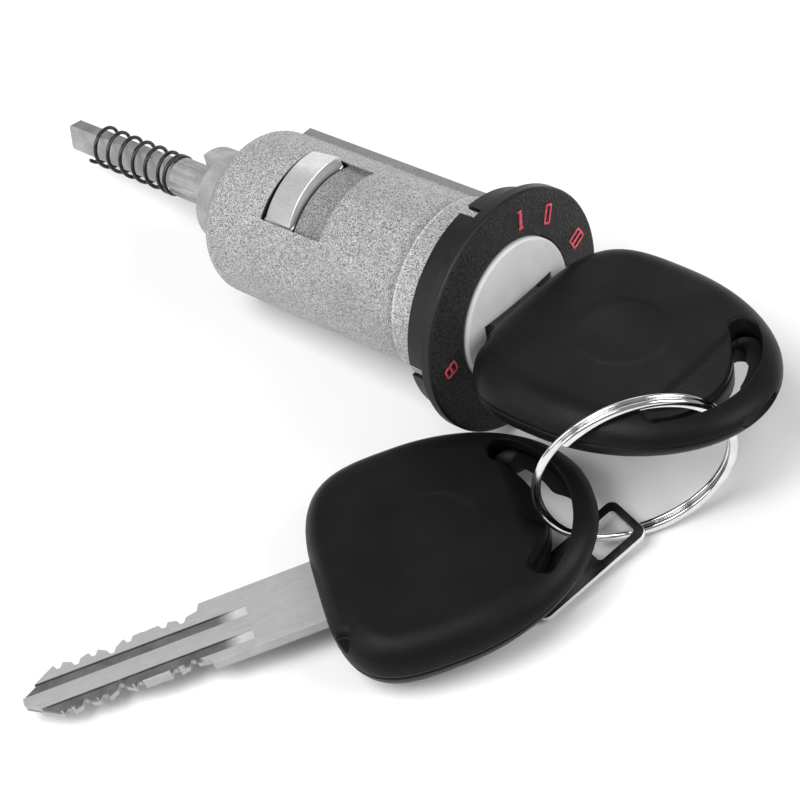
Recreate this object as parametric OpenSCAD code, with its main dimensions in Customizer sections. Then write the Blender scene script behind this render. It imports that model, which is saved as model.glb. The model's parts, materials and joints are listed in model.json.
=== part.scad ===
// Ignition lock cylinder with two linked keys, sizes in millimetres.
// X is the lock axis, out of the keyhole, Z is up. The bezel's seat face is at X = 0.

/* [Bezel] */
// outer radius of the flange
flange_r = 20; // [19:0.1:20.3]
// thickness of the flange
flange_t = 2; // [1.6:0.1:2.8]
// outer radius of the skirt behind the flange
skirt_r = 18.4; // [18:0.1:18.9]
// length of the skirt behind the seat face
skirt_len = 4.2; // [3.8:0.1:5.4]
// width of the four notches in the skirt
notch_w = 2; // [1.7:0.1:2.8]

/* [Housing] */
// radius of the cast body
body_r = 14.1; // [13.8:0.1:14.4]
// how far the front band stands out from the body
band_h = 0.6; // [0.3:0.1:0.9]
// length of the front band, from the seat face
band_len = 10.7; // [8:0.5:14]
// thickness of the rear wall
rear_wall = 4.2; // [4:0.1:6]
// rounding of the rear edge
rear_round = 3.5; // [2:0.1:3.8]
// width of the long rib
rib_w = 4; // [3:0.2:5]
// height of the long rib over the body
rib_h = 1.35; // [1:0.05:2]

/* [Window and pawl] */
// length of the window along the axis
window_len = 13; // [11.5:0.5:15]
// width of the window across the body
window_w = 15; // [13:0.5:16]
// depth of the recessed floor beside the pawl
floor_depth = 0.9; // [0.5:0.1:1.4]
// length of the pawl along the axis
pawl_len = 6.2; // [5.4:0.1:7]
// how far the pawl's front edge stands out from the body, its rear edge being level with it
pawl_proud = 1.1; // [0.8:0.1:1.3]

/* [Face disc and plug] */
// radius of the face disc
disc_r = 12.1; // [11.6:0.05:12.6]
// how far the disc's middle stands out from the flange
disc_proud = 1.2; // [0.8:0.1:2]
// rise of the disc's middle over its edge
disc_crown = 0.6; // [0.3:0.1:0.9]
// length of the key recess in the disc
recess_w = 16.2; // [14:0.2:18]
// height of the key recess in the disc
recess_h = 5.6; // [4.4:0.2:7]
// radius of the plug's barrel
plug_r = 8.5; // [8.4:0.05:8.6]
// radius of the plug's head
plug_head_r = 11; // [10.4:0.1:11.3]

/* [Tail] */
// radius of the boss behind the body
boss_r = 7.6; // [7:0.1:7.9]
// length of the boss behind the rear face
boss_len = 7.2; // [5:0.1:8]
// length of the raised cam on the boss
cam_len = 3; // [2:0.1:4]
// radius of the round shaft
shaft_r = 3.4; // [3.2:0.05:3.6]
// length of the round shaft, from the boss
shaft_len = 11; // [10:0.5:15]
// length of the flat tip
tip_len = 27.2; // [24:0.2:30]
// width of the flat tip
tip_w = 4.8; // [4:0.1:5]
// thickness of the flat tip
tip_t = 2.4; // [2:0.1:2.6]
// wire thickness of the tail spring
coil_wire = 0.55; // [0.45:0.05:0.7]
// length of the tail spring
coil_len = 18.4; // [17:0.2:20]

/* [Wafers] */
// thickness of one wafer
wafer_t = 1.3; // [1:0.05:1.5]
// width of one wafer
wafer_w = 5.9; // [5.4:0.1:6.2]

/* [Key] */
// length of the key head
head_len = 44.6; // [43:0.1:47]
// width of the key head
head_w = 40.4; // [38.8:0.2:40.6]
// half thickness of the head at its blade end
head_h = 5.8; // [5.4:0.1:5.9]
// share of that thickness lost at the ring end
head_taper = 0.47; // [0.45:0.01:0.52]
// rounding of the head's edge, in plan
head_round = 5; // [4:0.2:5.4]
// width of the curved ring slot
slot_w = 4.4; // [4.2:0.1:4.8]
// rim left outside the ring slot
slot_rim = 3.6; // [3.2:0.1:3.9]
// width of the blade's plain shank
shank_w = 11.3; // [10.6:0.1:11.6]
// length of the blade's plain shank
shank_len = 18.2; // [17:0.1:19]
// width of the cut part of the blade
blade_w = 8.8; // [8.4:0.1:9.2]
// length of the blade, from the head
blade_len = 48; // [46:0.1:49.2]
// thickness of the blade
blade_t = 2.2; // [2:0.1:2.4]
// width of the blade's grooves
groove_w = 1.7; // [1.2:0.1:2]
// depth of the blade's grooves
groove_d = 0.6; // [0.4:0.05:0.7]

/* [Ring and tag] */
// centre-line radius of the split ring
ring_r = 15.1; // [15:0.05:15.5]
// thickness of the ring's wire across the ring
wire_r = 1.5; // [1.2:0.05:1.6]
// thickness of the ring's wire along its axis
wire_a = 1; // [0.8:0.05:1.05]
// width of the tag
tag_w = 8.6; // [8:0.2:10]
// length of the tag
tag_len = 21; // [18:0.5:24]
// thickness of the tag
tag_t = 0.9; // [0.6:0.1:1]

/* [Hidden] */
// running clearance of turning fits, on the radius
fit = 0.05;
// clearance of fixed flat fits
snug = 0.06;
// clearance of the key in the keyway
key_gap = 0.12;
// clearance round the pawl
pawl_gap = 0.2;
// clearance round the face disc, and the chamfer of the hole that it turns in
disc_gap = 0.2;
// rounding of the face disc's edge
disc_edge = 0.4;
// plane angle of the keyway about X
key_ang = -12.9;
// angle of the pawl's middle about X
pawl_ang = 94.5;
// angle of the first skirt notch about X
notch_ang = 81.5;
// angle of the flat tip's broad face about X
tip_ang = 160;
// angle of the long rib's middle about X
rib_ang = 19;
// end angle of the cam on the boss
cam_ang = 82;
// inner radius of the cam on the boss
cam_in = 4.4;

band_r = body_r + band_h;
lug_r = skirt_r - 0.5;
lug_w = notch_w - 0.8;
notch_len = skirt_len - 1.2;
disc_x = flange_t + disc_proud;
disc_back = 0.2;
disc_rim = disc_r - disc_edge;
dome_r = (disc_rim * disc_rim + disc_crown * disc_crown) / (2 * disc_crown);
key_x = disc_x + 0.5;
tip_x = key_x - blade_len;
tip_room = 1.3;
reach = 3 * body_r;
window_back = rear_wall + 9;
keyway_x = tip_x - tip_room;
keeper_t = 1.4;
keeper_x = keyway_x - 0.9 - keeper_t / 2;
keeper_r = plug_r + 1.1;
plug_x = keeper_x - keeper_t / 2 - 1.9;
wall_x = plug_x - 0.2;
rear_x = wall_x - rear_wall;
head_x = -4.9;
tongue_len = 1.1;
boss_x = rear_x - boss_len;
shoulder_x = boss_x - shaft_len;
end_x = shoulder_x - tip_len;
coil_r = shaft_r - 0.05;
tip_cut = 0.4;
window_x = rear_x + window_back;
pocket_x = window_x + pawl_len / 2 + pawl_gap;
pawl_w = window_w - 2 * pawl_gap;
pocket_floor = plug_r + 0.95;
foot_top = pocket_floor + 2.15;
foot_t = 0.65;
foot_l = 0.6;
foot_w = pawl_w - 4;
pawl_well = body_r - 1.6;
crown_r = 13;
crown_side = -1;
pawl_slope = atan(pawl_proud / pawl_len);
cuts = [3.2, 3.6, 4.3, 3.5, 2.6, 3.4, 3.0, 3.5];
wafer_n = len(cuts);
bit_len = blade_len - shank_len;
cut_first = 3.1;
cut_last = 6.4;
cut_pitch = (bit_len - cut_first - cut_last) / (wafer_n - 1);
cut_half = 0.26 * cut_pitch;
lock_r = plug_r + 2;
slot_r = 14.2;
slot_ang = 50;
slot_cx = head_len - slot_rim - slot_w / 2 - slot_r;
slot_in = slot_r - slot_w / 2;
slot_out = slot_r + slot_w / 2;
tang_len = 20;
half_w = head_w / 2;
lobe_x = 18;
lobe_n = 3.35;
ring_tilt = [0, 93.83, -37.48];
ring_lean = [-0.5475, -0.6541, -0.5219];
spare_lean = [-0.563, -0.6834, -0.4643];
spare_turn = [3.99, 1.09, 52.9];
tag_turn = [-4.8, 4.6, -105.7];
hole_w = tag_w - 3.2;
hole_l = 7;
tag_round = 1.5;
hole_round = 0.6;
hole_x = 1.4 + hole_l / 2;
jog = 44;
jog_at = 150;
ring_gap = 0.04;

function spin_x(v, a) = [v[0], v[1] * cos(a) - v[2] * sin(a), v[1] * sin(a) + v[2] * cos(a)];
function spin_y(v, a) = [v[0] * cos(a) + v[2] * sin(a), v[1], v[2] * cos(a) - v[0] * sin(a)];
function spin_z(v, a) = [v[0] * cos(a) - v[1] * sin(a), v[0] * sin(a) + v[1] * cos(a), v[2]];
function spin(v, r) = spin_z(spin_y(spin_x(v, r[0]), r[1]), r[2]);
function unit(v) = v / norm(v);
function arc(c, r, a, b, n) = [for (i = [0:n]) c + r * [cos(a + (b - a) * i / n), sin(a + (b - a) * i / n)]];

// where the ring passes each slot, in the key's own frame
cross_one = [slot_cx + 12.6, -3.6, 0.1];
cross_two = [slot_cx + 13.4, -4.2, 0];
ring_c = [key_x, 0, 0] + spin(cross_one, [key_ang, 0, 0]) + ring_r * unit(ring_lean);
spare_x = ring_c + ring_r * unit(spare_lean) - spin(cross_two, spare_turn);
tag_at = ring_c + ring_r * unit([-0.332, -0.337, -0.881]) + spin([0.5, 0, 0], tag_turn);

wafer_names = [for (i = [1:wafer_n]) str("wafer_", i)];

// a solid of revolution about X from points [radius, x]
module turned(pts) rotate([0, 90, 0]) rotate_extrude($fn = 96) polygon(pts);

// a cylinder along X from x0 to x1
module rod(r, x0, x1) translate([x0, 0, 0]) rotate([0, 90, 0]) cylinder(r = r, h = x1 - x0, $fn = 96);

// a box centred across, from x0 to x1
module bar(x0, x1, w, h) translate([x0, -w / 2, -h / 2]) cube([x1 - x0, w, h]);

module at_key_one() translate([key_x, 0, 0]) rotate([key_ang, 0, 0]) children();
module at_key_two() translate(spare_x) rotate(spare_turn) children();

function wafer_x(i) = key_x - shank_len - cut_first - cut_pitch * i;

// two triangles for each cell between rows of n points, and a face on the first and last of m rows
function skin(n, m) = concat([[for (k = [0:n - 1]) k]], [[for (k = [n - 1:-1:0]) (m - 1) * n + k]],
    [for (i = [0:m - 2]) for (k = [0:n - 1]) let (j = (k + 1) % n, a = i * n, b = a + n)
        for (f = [[a + k, b + k, a + j], [a + j, b + k, b + j]]) f]);

// a round wire along a list of points, each with its own outward direction
module wire(path, out, r, sides) {
    n = len(path);
    pts = [for (i = [0:n - 1]) let (
            a = path[max(i - 1, 0)], b = path[min(i + 1, n - 1)],
            t = unit(b - a), o = unit(out[i] - t * (out[i] * t)), s = cross(t, o))
        for (k = [0:sides - 1]) path[i] + r * (o * cos(360 * k / sides) + s * sin(360 * k / sides))];
    polyhedron(pts, skin(sides, n));
}

// a coil along +Z, with close turns at its first and at its last end
module coil(r, w, len, turns, close, last, seg, sides) {
    n = turns * seg;
    step = w * 1.06;
    lead = (len - w - (close + last) * step) / (turns - close - last);
    function rise(t) = t < close ? t * step
        : t < turns - last ? close * step + (t - close) * lead
        : len - w - (turns - t) * step;
    wire([for (i = [0:n]) [r * cos(360 * i / seg), r * sin(360 * i / seg), w / 2 + rise(i / seg)]],
        [for (i = [0:n]) [cos(360 * i / seg), sin(360 * i / seg), 0]], w / 2, sides);
}

module housing() color([0.66, 0.66, 0.65]) difference() {
    union() {
        turned(concat([[plug_head_r + fit, 0], [band_r, 0], [band_r, -band_len], [body_r, -band_len - 0.3]],
            arc([body_r - rear_round, rear_x + rear_round], rear_round, 0, -90, 8),
            [[boss_r + fit, rear_x], [boss_r + fit, wall_x], [plug_r + fit, wall_x],
             [plug_r + fit, head_x - 0.1], [plug_head_r + fit, head_x - 0.1]]));
        rotate([rib_ang, 0, 0]) translate([0, 0, -rib_w / 2]) linear_extrude(rib_w)
            polygon([[-skirt_len - 0.2, body_r - 1], [-skirt_len - 0.2, body_r + rib_h],
                [rear_x + 3.4, body_r + rib_h], [rear_x + 2, body_r - 1]]);
        for (a = [0:90:270]) rotate([notch_ang + a, 0, 0])
            translate([-skirt_len - 0.3, band_r - 1, -lug_w / 2])
                cube([notch_len - 0.2, lug_r - band_r + 1, lug_w]);
    }
    rotate([pawl_ang, 0, 0]) {
        difference() {
            translate([window_x, 0, -window_w / 2]) cube([window_len, body_r + 3, window_w]);
            rod(body_r - floor_depth, window_x - 1, window_x + window_len + 1);
        }
        translate([window_x, pocket_floor, -window_w / 2])
            cube([pawl_len + 2 * pawl_gap, body_r, window_w]);
        translate([window_x - foot_l, pocket_floor, -foot_w / 2 - pawl_gap])
            cube([pawl_len + 2 * pawl_gap + 2 * foot_l, foot_top - pocket_floor, foot_w + 2 * pawl_gap]);
    }
    rotate([key_ang, 0, 0]) intersection() {
        bar(wafer_x(wafer_n - 1) - 2, wafer_x(0) + 2, reach, wafer_w + 0.6);
        rod(lock_r, wafer_x(wafer_n - 1) - 3, wafer_x(0) + 3);
    }
    rod(keeper_r + 0.3, keeper_x - keeper_t / 2 - 0.25, keeper_x + keeper_t / 2 + 0.25);
}

module bezel() color([0.07, 0.07, 0.07]) difference() {
    turned(concat([[disc_r + disc_gap, 0], [disc_r + disc_gap, flange_t - disc_gap],
            [disc_r + 2 * disc_gap, flange_t]],
        arc([flange_r - 0.5, flange_t - 0.5], 0.5, 90, 0, 4),
        [[flange_r, 0], [skirt_r, 0], [skirt_r - 0.15, -skirt_len], [band_r + fit, -skirt_len],
         [band_r + fit, 0]]));
    for (a = [0:90:270]) rotate([notch_ang + a, 0, 0])
        translate([-skirt_len - 1, band_r - 2, -notch_w / 2]) cube([notch_len + 1, 8, notch_w]);
}

module face_disc() color([0.74, 0.74, 0.73]) difference() {
    turned(concat([[0, disc_back]], arc([0, disc_x - dome_r], dome_r, 90, acos(disc_rim / dome_r), 8),
        arc([disc_rim, disc_x - disc_crown - disc_edge], disc_edge, 75, 0, 4), [[disc_r, disc_back]]));
    rotate([key_ang, 0, 0]) bar(disc_back - 1, disc_x + 1, recess_w, recess_h);
}

module plug() color([0.62, 0.58, 0.46]) difference() {
    turned([[0, disc_back], [plug_head_r, disc_back], [plug_head_r, head_x], [plug_r, head_x],
        [plug_r, plug_x], [0, plug_x]]);
    rotate([key_ang, 0, 0]) {
        bar(key_x - shank_len - 0.5 - key_gap, 5, shank_w + 2 * key_gap, blade_t + 2 * key_gap);
        bar(keyway_x, 5, blade_w + 2 * key_gap, blade_t + 2 * key_gap);
        for (i = [0:wafer_n - 1]) rotate([180 * (i % 2), 0, 0]) {
            bar(wafer_x(i) - wafer_t / 2 - snug, wafer_x(i) + wafer_t / 2 + snug, reach, wafer_w + 2 * snug);
            translate([wafer_x(i) - wafer_t / 2 - snug, -3.4, 0])
                cube([wafer_t + 2 * snug, 8.5, wafer_w / 2 + 1.6]);
        }
        translate([keeper_x - keeper_t / 2 - snug, 0.5 - plug_r, -wafer_w / 2 - snug])
            cube([keeper_t + 2 * snug, reach, wafer_w + 2 * snug]);
        bar(plug_x - 1, plug_x + tongue_len + 0.1, 9 + 2 * snug, 3 + 2 * snug);
    }
}

module plug_retainer() color([0.6, 0.6, 0.58]) rotate([key_ang, 0, 0]) intersection() {
    translate([keeper_x - keeper_t / 2, 0.6 - plug_r, -wafer_w / 2]) cube([keeper_t, reach, wafer_w]);
    rod(keeper_r, keeper_x - 3, keeper_x + 3);
}

module tail_driver() color([0.68, 0.68, 0.67]) difference() {
    union() {
        turned([[0, plug_x], [boss_r, plug_x], [boss_r, boss_x + 0.3], [boss_r - 0.3, boss_x],
            [shaft_r, boss_x], [shaft_r, shoulder_x + 0.2], [shaft_r - 0.2, shoulder_x], [0, shoulder_x]]);
        rotate([key_ang, 0, 0]) bar(plug_x - 1, plug_x + tongue_len, 9, 3);
        rotate([0, 90, 0]) translate([0, 0, boss_x - cam_len]) rotate([0, 0, 90 - 10])
            rotate_extrude(angle = cam_ang + 10, $fn = 96) translate([cam_in, 0])
                square([boss_r - cam_in, cam_len + 1]);
        rotate([tip_ang, 0, 0]) translate([0, -tip_t / 2, 0]) rotate([-90, 0, 0]) linear_extrude(tip_t)
            polygon([[shoulder_x + 1, tip_w / 2], [end_x + tip_cut, tip_w / 2], [end_x, tip_w / 2 - tip_cut],
                [end_x, tip_cut - tip_w / 2], [end_x + tip_cut, -tip_w / 2], [shoulder_x + 1, -tip_w / 2]]);
    }
}

module tail_spring() color([0.1, 0.1, 0.1]) translate([shoulder_x - 0.02, 0, 0]) rotate([0, -90, 0])
    coil(coil_r, coil_wire, coil_len, 8, 1.5, 0, 20, 8);

module wafer(i) color([0.72, 0.6, 0.32]) rotate([key_ang + 180 * (i % 2), 0, 0]) difference() {
    union() {
        intersection() {
            bar(wafer_x(i) - wafer_t / 2, wafer_x(i) + wafer_t / 2, reach, wafer_w);
            rod(plug_r - 0.1, wafer_x(i) - 2, wafer_x(i) + 2);
        }
        translate([wafer_x(i) - wafer_t / 2, -3.3, 0]) cube([wafer_t, 1.1, wafer_w / 2 + 1.3]);
    }
    bar(wafer_x(i) - 2, wafer_x(i) + 2, blade_w + 0.5, blade_t + 0.5);
}

module wafer_springs() color([0.75, 0.75, 0.74]) for (i = [0:wafer_n - 1])
    rotate([key_ang + 180 * (i % 2), 0, 0]) translate([wafer_x(i), -2.15, wafer_w / 2 + 0.8])
        rotate([-90, 0, 0]) coil(0.4, 0.24, 7.2, 5, 1, 1, 6, 4);

// a block under a sloping crown, so that the lock can be pushed in but not pulled out
module pawl() color([0.8, 0.8, 0.79]) rotate([pawl_ang, 0, 0]) difference() {
    union() {
        intersection() {
            translate([pocket_x - pawl_len / 2, foot_top - 0.05 - foot_t, -pawl_w / 2])
                cube([pawl_len, reach, pawl_w]);
            translate([pocket_x, body_r + pawl_proud / 2 - crown_r / cos(pawl_slope), crown_side])
                rotate([0, 0, pawl_slope]) rod(crown_r, -pawl_len, pawl_len);
        }
        translate([pocket_x - pawl_len / 2 - foot_l, foot_top - 0.05 - foot_t, -foot_w / 2])
            cube([pawl_len + 2 * foot_l, foot_t, foot_w]);
    }
    translate([pocket_x, 0, 0]) rotate([-90, 0, 0]) cylinder(r = 2.3, h = pawl_well, $fn = 48);
}

module pawl_spring() color([0.7, 0.7, 0.7]) rotate([pawl_ang, 0, 0]) translate([pocket_x, pocket_floor, 0])
    rotate([-90, 0, 0]) coil(1.7, 0.4, pawl_well - pocket_floor, 3.5, 0.75, 0.75, 12, 6);

// the blade, its tang inside the head, two grooves on each face
module key_blade() difference() {
    side = concat([[tang_len, shank_w / 2], [-shank_len, shank_w / 2], [-shank_len - 0.5, blade_w / 2]],
        [for (i = [0:wafer_n - 1]) let (top = min(cuts[i] + 0.85, blade_w / 2))
            for (p = [[cut_half, top], [0.4 * cut_half, cuts[i]], [-0.4 * cut_half, cuts[i]], [-cut_half, top]])
                [-shank_len - cut_first - cut_pitch * i + p[0], p[1]]],
        [[-blade_len + 4.1, 3.4], [-blade_len, 0.8]]);
    translate([0, 0, -blade_t / 2]) linear_extrude(blade_t)
        polygon(concat(side, [for (i = [len(side) - 1:-1:0]) [side[i][0], -side[i][1]]]));
    for (turn = [0, 180]) rotate([turn, 0, 0]) for (y = [1.3, -3.3])
        translate([0, y - groove_w / 2, blade_t / 2 - groove_d]) {
            translate([-blade_len - 1, 0, 0]) cube([blade_len - 13.3, groove_w, 2]);
            translate([-14.3, 0, 10]) rotate([-90, 0, 0]) cylinder(r = 10, h = groove_w, $fn = 96);
        }
}

// head outline point and inward shift at angle a: round lobe to the ring end, squarer at the blade end
function lobe(a, d) = let (c = cos(a), s = sin(a), q = c < 0,
        n = q ? lobe_n : 2, l = q ? lobe_x : head_len - lobe_x,
        x = sign(c) * pow(abs(c), 2 / n), y = sign(s) * pow(abs(s), 2 / n),
        g = unit([sign(c) * pow(abs(x), n - 1) / l, sign(s) * pow(abs(y), n - 1) / half_w]))
    [lobe_x + l * x - d * g[0], half_w * y - d * g[1]];

// one solid head half above the seam, its edge rolled over and its top sloping to the ring end
module head_form() {
    n = 64;
    steps = [0, 14, 30, 48, 68, 90];
    pts = [for (t = steps) for (k = [0:n - 1]) let (p = lobe(360 * (k + 0.5) / n, head_round * (1 - cos(t))))
        [p[0], p[1], head_h * sin(t) * (1 - head_taper * p[0] / head_len)]];
    polyhedron(pts, skin(n, len(steps)));
}

module ring_slot() translate([slot_cx, 0, -9]) {
    rotate([0, 0, -slot_ang]) rotate_extrude(angle = 2 * slot_ang, $fn = 96)
        translate([slot_in, 0]) square([slot_w, 18]);
    for (a = [-slot_ang, slot_ang]) rotate([0, 0, a]) translate([slot_r, 0, 0])
        cylinder(r = slot_w / 2, h = 18, $fn = 48);
}

module tang_pocket() bar(-1, tang_len + 0.2, shank_w + 2 * snug, blade_t + 2 * snug);

module pry_notch() bar(head_len - 0.9, head_len + 1, 8, 1.6);

module upper_shell() difference() {
    head_form();
    ring_slot();
    tang_pocket();
    pry_notch();
    intersection() {
        rotate([90, 0, 0]) translate([0, 0, -20]) linear_extrude(40)
            polygon([[slot_cx + 7.2, 5.2], [slot_cx + slot_in, 0.8], [head_len, 0.8], [head_len, 9]]);
        translate([slot_cx, 0, 0]) cylinder(r = slot_r, h = 12, $fn = 96);
    }
    translate([1.6, -0.58 * half_w, 2]) cylinder(r = 1.7, h = 9, $fn = 48);
}

module lower_shell() difference() {
    mirror([0, 0, 1]) head_form();
    ring_slot();
    tang_pocket();
    pry_notch();
    translate([slot_cx, 0, 0]) rotate([0, 0, -slot_ang]) rotate_extrude(angle = 2 * slot_ang, $fn = 96)
        polygon([[slot_out - 1, -0.5], [slot_out, -0.5], [slot_out + 1.5, -4], [slot_out + 1.5, -9],
            [slot_out - 1, -9]]);
}

module key_one_blade() color([0.8, 0.8, 0.78]) at_key_one() key_blade();
module key_one_upper_shell() color([0.06, 0.06, 0.06]) at_key_one() upper_shell();
module key_one_lower_shell() color([0.06, 0.06, 0.06]) at_key_one() lower_shell();
module key_two_blade() color([0.8, 0.8, 0.78]) at_key_two() key_blade();
module key_two_upper_shell() color([0.06, 0.06, 0.06]) at_key_two() upper_shell();
module key_two_lower_shell() color([0.06, 0.06, 0.06]) at_key_two() lower_shell();

// two flat turns of a rounded wire, joined by one sloping step where both ends stop
module split_ring() color([0.85, 0.85, 0.85]) translate(ring_c) rotate(ring_tilt) {
    lift = (wire_a + ring_gap) / 2;
    total = 720 - 3 * jog;
    n = 96;
    corner = [[1, -0.62], [1, 0.62], [0.7, 1], [-0.7, 1], [-1, 0.62], [-1, -0.62], [-0.7, -1], [0.7, -1]];
    sec = [for (q = corner) [q[0] * wire_r / 2, q[1] * wire_a / 2]];
    half = 360 - 2 * jog;
    pts = [for (i = [0:n]) let (a = total * i / n, s = max(0, min(1, (a - half) / jog)),
            z = lift * (2 * s * s * (3 - 2 * s) - 1)) for (q = sec)
        [(ring_r + q[0]) * cos(a + jog_at), (ring_r + q[0]) * sin(a + jog_at), z + q[1]]];
    polyhedron(pts, skin(len(sec), n + 1));
}

// a plate centred on the origin, its corners rounded
module round_plate(l, w, t, r) translate([0, 0, -t / 2]) linear_extrude(t)
    polygon([for (q = [[1, 1, 0], [-1, 1, 90], [-1, -1, 180], [1, -1, 270]])
        each arc([q[0] * (l / 2 - r), q[1] * (w / 2 - r)], r, q[2], q[2] + 90, 6)]);

module tag() color([0.12, 0.12, 0.12]) translate(tag_at) rotate(tag_turn) difference() {
    translate([tag_len / 2 - hole_x, 0, 0]) round_plate(tag_len, tag_w, tag_t, tag_round);
    round_plate(hole_l, hole_w, 3 * tag_t, hole_round);
}

housing();
bezel();
face_disc();
plug();
plug_retainer();
tail_driver();
tail_spring();
for (i = [0:wafer_n - 1]) wafer(i);
wafer_springs();
pawl();
pawl_spring();
key_one_blade();
key_one_upper_shell();
key_one_lower_shell();
key_two_blade();
key_two_upper_shell();
key_two_lower_shell();
split_ring();
tag();
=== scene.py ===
"""Looks of an ignition lock cylinder with two keys on a split ring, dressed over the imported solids."""
import json
import math

import bmesh
import bpy
import numpy as np
from mathutils import Euler, Matrix, Vector


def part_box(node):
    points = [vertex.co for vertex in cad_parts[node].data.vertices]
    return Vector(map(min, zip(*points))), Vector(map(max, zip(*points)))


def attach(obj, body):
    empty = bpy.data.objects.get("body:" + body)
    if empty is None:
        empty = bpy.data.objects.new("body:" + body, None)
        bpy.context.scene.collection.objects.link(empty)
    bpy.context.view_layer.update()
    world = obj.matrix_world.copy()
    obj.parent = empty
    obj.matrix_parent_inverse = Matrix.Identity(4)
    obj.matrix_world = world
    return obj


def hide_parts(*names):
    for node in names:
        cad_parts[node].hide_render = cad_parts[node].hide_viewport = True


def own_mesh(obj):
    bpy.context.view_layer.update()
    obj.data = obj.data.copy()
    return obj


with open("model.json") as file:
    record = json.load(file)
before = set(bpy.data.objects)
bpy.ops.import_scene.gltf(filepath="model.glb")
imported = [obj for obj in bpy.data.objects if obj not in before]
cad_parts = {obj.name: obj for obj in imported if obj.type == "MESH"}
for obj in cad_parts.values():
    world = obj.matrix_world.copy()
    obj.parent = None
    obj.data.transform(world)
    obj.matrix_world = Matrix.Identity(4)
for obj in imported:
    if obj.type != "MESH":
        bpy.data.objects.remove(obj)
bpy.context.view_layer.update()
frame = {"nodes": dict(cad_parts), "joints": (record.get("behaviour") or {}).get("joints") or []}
JOINTS = {joint["name"]: joint for joint in frame["joints"]}
MM = 0.001

# Sizes in millimetres, and turns in degrees. Places on the lock are measured from the flange's seat.

# Housing and bezel
BODY_R, BAND_END = 14.1, -10.7
FACE_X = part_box("bezel")[1].x / MM
MARK_W, MARK_H, MARK_SUNK = 0.38, 0.09, 0.05

# Key heads, from the blade end: plan, ring slot, scoop, dish, corner dent, seam, end notch and lower relief
HEAD_LEN, HEAD_W, HEAD_H, HEAD_TAPER, HEAD_ROUND = 44.6, 40.4, 5.8, 0.47, 5.0
LOBE_X, LOBE_POWER = 18.0, 3.35
SLOT_R, SLOT_W, SLOT_RIM, SLOT_ANGLE, SLOT_LEDGE, SLOT_LIP = 14.2, 4.4, 3.6, 50.0, 2.2, 0.5
SLOT_X = HEAD_LEN - SLOT_RIM - SLOT_W / 2 - SLOT_R
SLOT_IN, SLOT_OUT = SLOT_R - SLOT_W / 2, SLOT_R + SLOT_W / 2
SCOOP_X, SCOOP_TOP, SCOOP_DROP = SLOT_X + 7.2, 4.75, 4.4
SCOOP_RUN = SLOT_X + SLOT_IN - SCOOP_X
DISH_X, DISH_R, DISH_DEPTH = 19.4, 7.9, 0.12
MOON_X, MOON_Y, MOON_R, MOON_Z = 1.6, -0.58 * HEAD_W / 2, 1.7, 2.0
SEAM_Z, SEAM_IN = 0.12, 0.16
NOTCH_W, NOTCH_Z, NOTCH_IN = 8.4, 0.68, 0.74
RELIEF_Z, RELIEF_SLOPE = 0.5, 3.5 / 1.5

# Outline angles that share the slot's edge out: its outer arc, then its round end, then its inner arc
OUTER_END, INNER_START = 40.0, 112.0

# Keys
KEY_X, KEY_ANGLE = 3.7, -12.9
SPARE_TURN = (3.99, 1.09, 52.9)
SPARE_CROSSING = (SLOT_X + 13.4, -4.2, 0.0)
BLADE_T, GROOVE_W, GROOVE_END, GROOVES = 2.2, 1.7, -13.0, (1.3, -3.3)

# Split ring: wire across and along the ring's axis, and the step between its two turns
RING_R, WIRE_R, WIRE_A, RING_GAP, WIRE_CORNER = 15.1, 1.5, 1.0, 0.04, 2.1
RING_JOG, RING_JOG_AT = 44.0, 346.0
RING_TILT = (0.0, 93.83, -37.48)

# Pawl: heights from the lock's axis, and its foot and spring well
PAWL_LEN, PAWL_W, PAWL_PROUD, PAWL_ANGLE, PAWL_EASE = 6.0, 14.3, 1.1, 94.5, 0.26
PAWL_X = sum(corner.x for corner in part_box("pawl")) / 2 / MM + 0.1
CROWN_R, CROWN_SIDE = 13.0, -1.0
FOOT_BOTTOM, FOOT_TOP, FOOT_LIP, FOOT_W = 10.9, 11.55, 0.6, 10.6
WELL_R, WELL_TOP = 2.3, 12.5
POCKET_FLOOR, PAWL_TRAVEL = 9.45, 1.4

# Coils: radius, wire, length, turns, and the close turns at the first and the last end
TAIL_COIL = (3.38, 0.68, 21.4, 7.7, 1.5, 0.0)
PAWL_COIL = (1.7, 0.4, WELL_TOP - POCKET_FLOOR, 3.5, 0.75, 0.75)
COIL_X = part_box("tail_spring")[1].x / MM

# Tag
TAG_TURN = (-4.8, 4.6, -105.7)
TAG_W, TAG_LEN, TAG_T, TAG_EASE = 8.6, 21.0, 0.9, 0.14
TAG_HOLE_W, TAG_HOLE_L, TAG_RIM, TAG_ROUND, TAG_HOLE_ROUND = 5.4, 7.0, 1.4, 1.5, 0.6
TAG_ARM, TAG_SLACK = (-0.332, -0.337, -0.881), 0.5

# Floor: the plane that the flange and the rear of the housing rest on
FLOOR_NORMAL = Vector((0.1156, 0.0, 0.9933))
FLOOR_DROP, FLOOR_HALF = -19.88, 2500.0


def turned(degrees):
    """Matrix of a turn about X, then Y, then Z."""
    return np.array(Euler([math.radians(a) for a in degrees]).to_matrix())


def unit(vectors):
    """Vectors divided by their lengths, along the last axis."""
    return vectors / np.linalg.norm(vectors, axis=-1, keepdims=True)


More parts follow.
